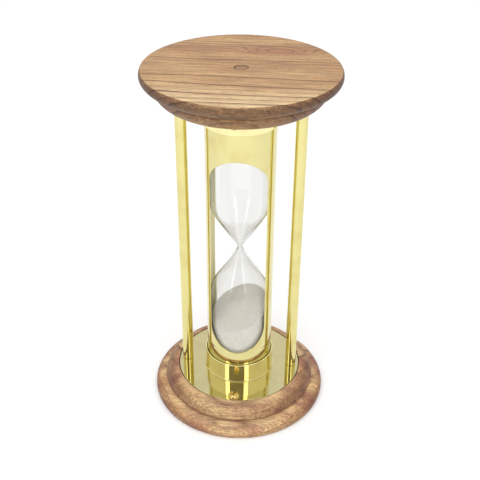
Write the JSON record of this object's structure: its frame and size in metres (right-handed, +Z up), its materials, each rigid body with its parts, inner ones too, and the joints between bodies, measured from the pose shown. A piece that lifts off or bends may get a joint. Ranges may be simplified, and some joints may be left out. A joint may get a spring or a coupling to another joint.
{
  "type": "hourglass sand timer",
  "caption": "Sand timer: turned wooden discs with let-in brass plates, brass rods, and a glass double bulb in a brass tube with long round-ended windows.",
  "frame": {"origin": "centre of the base disc's underside", "axes": "+Z up along the timer's axis, the two rods on the X axis, the tube's windows facing -Y and +Y"},
  "size_m": [0.09, 0.09, 0.18],
  "materials": {
    "turned_wood": "fine-grained hardwood, thinly waxed",
    "plug_wood": "end-grain plug, sanded flush",
    "plate_brass": "flat sheet, polished to a mirror",
    "polished_brass": "turned and polished to a mirror",
    "tube_brass": "drawn tube, polished to a mirror",
    "screw_brass": "bright machined",
    "screw_steel": "plain machined",
    "cork": "agglomerated cork, raw",
    "vial_glass": "clear blown glass, thin wall",
    "pale_sand": "fine pale grains, matte"
  },
  "bodies": {
    "frame": {"base_disc": "turned_wood", "top_disc": "turned_wood", "base_plug": "plug_wood", "top_plug": "plug_wood", "base_plate": "plate_brass", "top_plate": "plate_brass", "base_plate_screw_front": "screw_brass", "base_plate_screw_back": "screw_brass", "top_plate_screw_front": "screw_brass", "top_plate_screw_back": "screw_brass", "base_cup": "polished_brass", "top_cup": "polished_brass", "base_cup_screw": "screw_steel", "top_cup_screw": "screw_steel", "base_cup_nut": "screw_steel", "top_cup_nut": "screw_steel", "left_rod": "polished_brass", "right_rod": "polished_brass", "base_left_rod_screw": "screw_steel", "base_right_rod_screw": "screw_steel", "top_left_rod_screw": "screw_steel", "top_right_rod_screw": "screw_steel", "base_vial_pad": "cork", "top_vial_pad": "cork", "fill_stopper": "cork", "glass_vial": "vial_glass", "sand": "pale_sand"},
    "sleeve": {"window_tube": "tube_brass"}
  },
  "joints": [
    {"name": "tube_turn", "type": "hinge", "parent": "frame", "child": "sleeve", "pos_m": [0, 0, 0.09], "axis": [0, 0, 1], "continuous": true}
  ]
}
